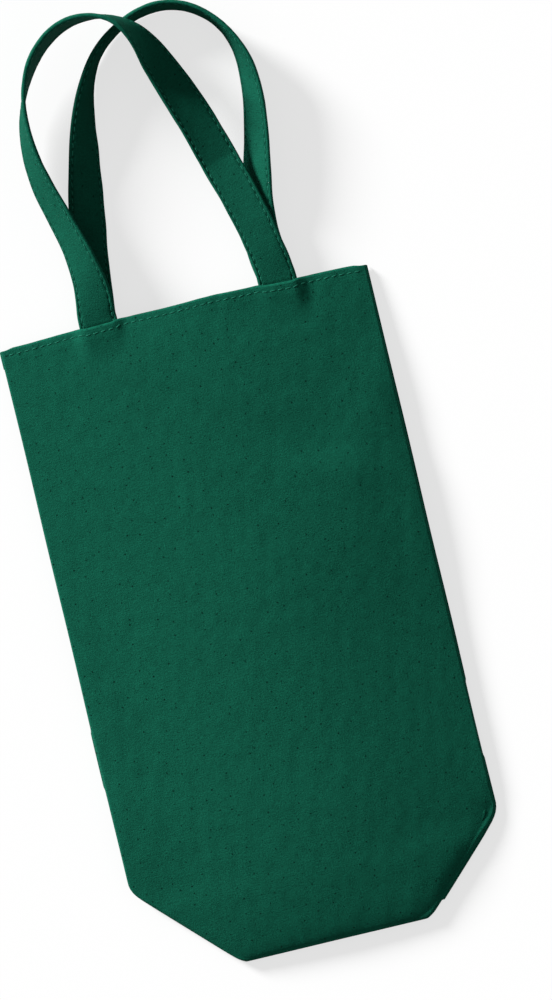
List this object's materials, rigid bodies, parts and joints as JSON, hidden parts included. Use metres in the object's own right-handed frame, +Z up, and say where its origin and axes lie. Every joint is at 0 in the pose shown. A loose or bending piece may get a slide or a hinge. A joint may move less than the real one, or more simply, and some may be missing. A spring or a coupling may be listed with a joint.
{
  "type": "bottle carrier",
  "caption": "Flat cloth carrier bag for bottles, with a squared base folded up inside, clipped lower corners, a stitched mouth hem and two long strap handles.",
  "frame": {"origin": "on the supporting surface, under the middle of the flat bag", "axes": "The bag lies on its back. +X runs across the bag to the right as its front is seen, +Y runs along it from the base fold to the mouth and the handles, +Z points up out of its front"},
  "size_m": [0.2, 0.5109, 0.0418],
  "materials": {
    "cloth": "plain-woven dyed cotton, matte",
    "inner_cloth": "plain-woven dyed cotton, matte, folded inside the bag",
    "strap": "the same cloth folded to four layers and topstitched, matte",
    "thread": "sewing thread, slight sheen"
  },
  "bodies": {
    "bag": {"front_panel": "cloth", "back_panel": "cloth", "front_hem": "cloth", "back_hem": "cloth", "base_gusset": "inner_cloth", "left_corner_fold": "inner_cloth", "right_corner_fold": "inner_cloth", "left_side_seam": "inner_cloth", "right_side_seam": "inner_cloth", "left_corner_seam": "inner_cloth", "right_corner_seam": "inner_cloth", "front_handle_tails": "strap", "back_handle_tails": "strap", "front_hem_stitches": "thread", "back_hem_stitches": "thread", "left_side_seam_stitches": "thread", "right_side_seam_stitches": "thread", "left_corner_seam_stitches": "thread", "right_corner_seam_stitches": "thread", "front_tail_stitches": "thread", "back_tail_stitches": "thread"},
    "front_loop": {"front_handle": "strap", "front_handle_inner_stitches": "thread", "front_handle_outer_stitches": "thread"},
    "back_loop": {"back_handle": "strap", "back_handle_inner_stitches": "thread", "back_handle_outer_stitches": "thread"}
  },
  "joints": [
    {"name": "front_handle_fold", "type": "hinge", "parent": "bag", "child": "front_loop", "pos_m": [0, 0.1752, 0.012], "axis": [1, 0, 0], "range_deg": [0, 145]},
    {"name": "back_handle_fold", "type": "hinge", "parent": "bag", "child": "back_loop", "pos_m": [0, 0.1752, 0], "axis": [1, 0, 0], "range_deg": [-145, 0]}
  ]
}
